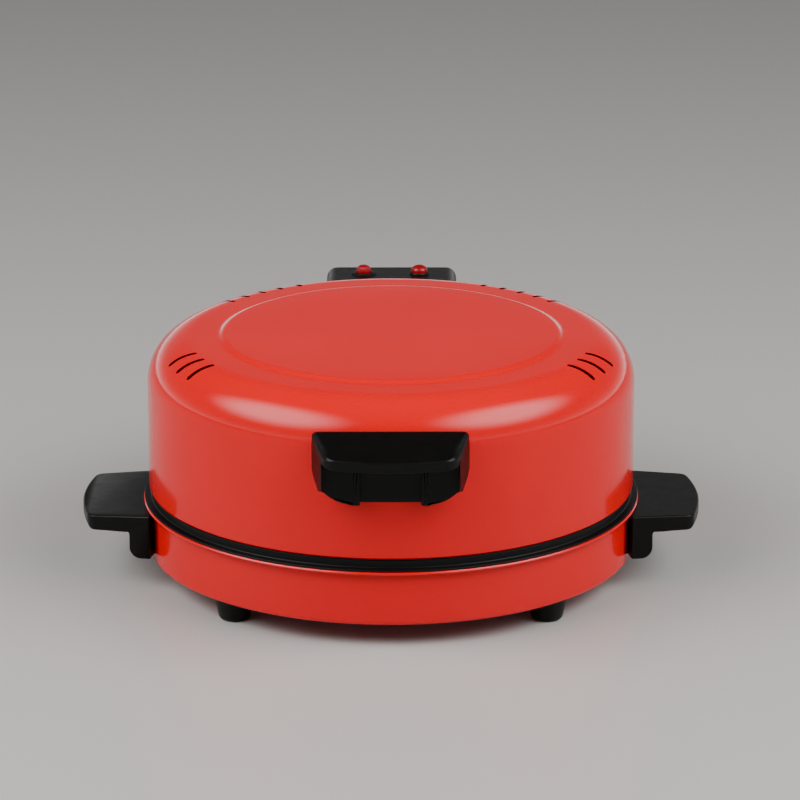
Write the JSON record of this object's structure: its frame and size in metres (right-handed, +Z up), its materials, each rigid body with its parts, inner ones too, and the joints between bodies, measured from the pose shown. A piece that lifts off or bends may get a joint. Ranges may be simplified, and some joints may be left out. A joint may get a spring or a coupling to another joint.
{
  "type": "electric pizza maker",
  "caption": "Round countertop pizza maker with a domed lid hinged at the back, a baking plate, side handles, a lid handle, rear housings with red lamps and feet",
  "frame": {"origin": "on the counter, under the middle of the round base", "axes": "+Z up, -Y front with the lid handle, +X to the right as seen from the front"},
  "size_m": [0.497, 0.4755, 0.197],
  "materials": {
    "red_enamel_steel": "glossy baked enamel on pressed steel",
    "black_phenolic": "satin moulded phenolic",
    "black_foot_moulding": "satin moulded phenolic",
    "cast_plate_dark_coat": "cast with a dark non-stick coat",
    "aluminised_steel": "aluminised sheet, dull mill finish",
    "plated_steel": "zinc plated",
    "heater_sheath": "dark oxidised sheath",
    "red_lamp_lens": "clear red moulded lens",
    "black_lamp_moulding": "smooth moulded plastic",
    "pale_insulator": "matt ceramic-filled moulding",
    "black_gland_rubber": "moulded rubber"
  },
  "bodies": {
    "base": {"base_shell": "red_enamel_steel", "foot_front_left": "black_foot_moulding", "foot_front_right": "black_foot_moulding", "foot_rear_left": "black_foot_moulding", "foot_rear_right": "black_foot_moulding", "foot_screws": "plated_steel", "foot_nuts": "plated_steel", "lower_reflector": "aluminised_steel", "plate_spacers": "plated_steel", "baking_plate": "cast_plate_dark_coat", "plate_screws": "plated_steel", "lower_heater": "heater_sheath", "lower_heater_clips": "plated_steel", "side_handle_left": "black_phenolic", "side_handle_right": "black_phenolic", "side_handle_screws": "plated_steel", "rear_housing_lower": "black_phenolic", "lower_housing_screws": "plated_steel", "base_thermostat": "pale_insulator", "terminal_block": "pale_insulator", "cord_gland": "black_gland_rubber", "base_hinge_brackets": "plated_steel", "base_hinge_rivets": "plated_steel", "hinge_pin": "plated_steel", "pin_retainer": "plated_steel"},
    "lid": {"lid_shell": "red_enamel_steel", "lid_liner": "aluminised_steel", "liner_posts": "plated_steel", "liner_screws": "plated_steel", "upper_heater": "heater_sheath", "upper_heater_clips": "plated_steel", "lid_handle": "black_phenolic", "lid_handle_screws": "plated_steel", "rear_housing_upper": "black_phenolic", "upper_housing_screws": "plated_steel", "lamp_holders": "black_lamp_moulding", "lamp_nuts": "black_lamp_moulding", "lamp_bezels": "black_lamp_moulding", "lamp_lens_left": "red_lamp_lens", "lamp_lens_right": "red_lamp_lens", "lid_thermostat": "pale_insulator", "lid_hinge_brackets": "plated_steel", "lid_hinge_rivets": "plated_steel"}
  },
  "joints": [
    {"name": "lid_hinge", "type": "hinge", "parent": "base", "child": "lid", "pos_m": [0, 0.226, 0.067], "axis": [-1, 0, 0], "range_deg": [0, 85]}
  ]
}
